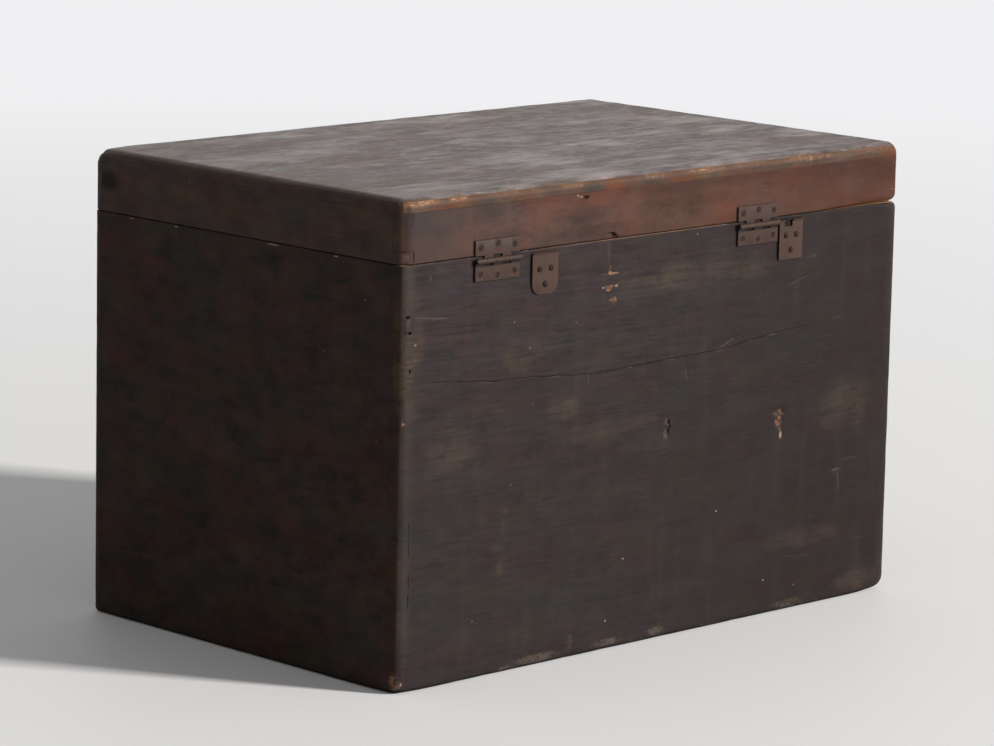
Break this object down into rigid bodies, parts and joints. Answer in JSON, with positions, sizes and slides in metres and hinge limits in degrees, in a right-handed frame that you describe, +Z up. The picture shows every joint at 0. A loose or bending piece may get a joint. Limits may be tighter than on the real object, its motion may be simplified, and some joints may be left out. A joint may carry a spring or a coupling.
{
  "type": "painted wooden chest",
  "caption": "Dovetailed wooden storage chest in worn dark paint, with a shallow boxed lid that swings up on butt hinges on the back.",
  "frame": {"origin": "middle of the underside, on the floor", "axes": "+X along the chest, towards the right end as seen from the front; +Y towards the hinged back; +Z up"},
  "size_m": [0.91, 0.5874, 0.609],
  "materials": {
    "black_paint": "thin brown-black paint on pine, worn through at the edges",
    "lid_top_paint": "grey-brown rubbed paint with streaks along the grain",
    "red_brown_paint": "red-brown worn paint on pine",
    "bare_pine": "bare aged pine",
    "hinge_iron": "brown painted iron with rust",
    "old_iron": "brown painted iron with rust",
    "dark_steel": "dark slotted steel"
  },
  "bodies": {
    "chest": {"front_board": "black_paint", "back_board": "black_paint", "left_end_board": "black_paint", "right_end_board": "black_paint", "bottom_board_1": "bare_pine", "bottom_board_2": "bare_pine", "bottom_board_3": "bare_pine", "bottom_board_4": "bare_pine", "bottom_board_5": "bare_pine", "bottom_nail_1": "dark_steel", "bottom_nail_2": "dark_steel", "bottom_nail_3": "dark_steel", "bottom_nail_4": "dark_steel", "bottom_nail_5": "dark_steel", "bottom_nail_6": "dark_steel", "bottom_nail_7": "dark_steel", "bottom_nail_8": "dark_steel", "bottom_nail_9": "dark_steel", "bottom_nail_10": "dark_steel", "right_hinge_body_leaf": "hinge_iron", "left_hinge_body_leaf": "hinge_iron", "right_hinge_pin": "dark_steel", "left_hinge_pin": "dark_steel", "right_hinge_body_screw_1": "dark_steel", "right_hinge_body_screw_2": "dark_steel", "right_hinge_body_screw_3": "dark_steel", "left_hinge_body_screw_1": "dark_steel", "left_hinge_body_screw_2": "dark_steel", "left_hinge_body_screw_3": "dark_steel", "right_old_leaf": "old_iron", "left_old_leaf": "old_iron", "right_old_leaf_screw_1": "dark_steel", "right_old_leaf_screw_2": "dark_steel", "right_old_leaf_screw_3": "dark_steel", "left_old_leaf_screw_1": "dark_steel", "left_old_leaf_screw_2": "dark_steel", "left_old_leaf_screw_3": "dark_steel"},
    "lid": {"lid_panel": "lid_top_paint", "lid_front_rail": "red_brown_paint", "lid_back_rail": "red_brown_paint", "lid_left_rail": "red_brown_paint", "lid_right_rail": "red_brown_paint", "lid_nail_1": "dark_steel", "lid_nail_2": "dark_steel", "lid_nail_3": "dark_steel", "lid_nail_4": "dark_steel", "lid_nail_5": "dark_steel", "lid_nail_6": "dark_steel", "lid_nail_7": "dark_steel", "lid_nail_8": "dark_steel", "lid_nail_9": "dark_steel", "lid_nail_10": "dark_steel", "right_hinge_lid_leaf": "hinge_iron", "left_hinge_lid_leaf": "hinge_iron", "right_hinge_lid_screw_1": "dark_steel", "right_hinge_lid_screw_2": "dark_steel", "right_hinge_lid_screw_3": "dark_steel", "left_hinge_lid_screw_1": "dark_steel", "left_hinge_lid_screw_2": "dark_steel", "left_hinge_lid_screw_3": "dark_steel"}
  },
  "joints": [
    {"name": "lid_hinge", "type": "hinge", "parent": "chest", "child": "lid", "pos_m": [0, 0.2938, 0.5234], "axis": [-1, 0, 0], "range_deg": [0, 180]}
  ]
}
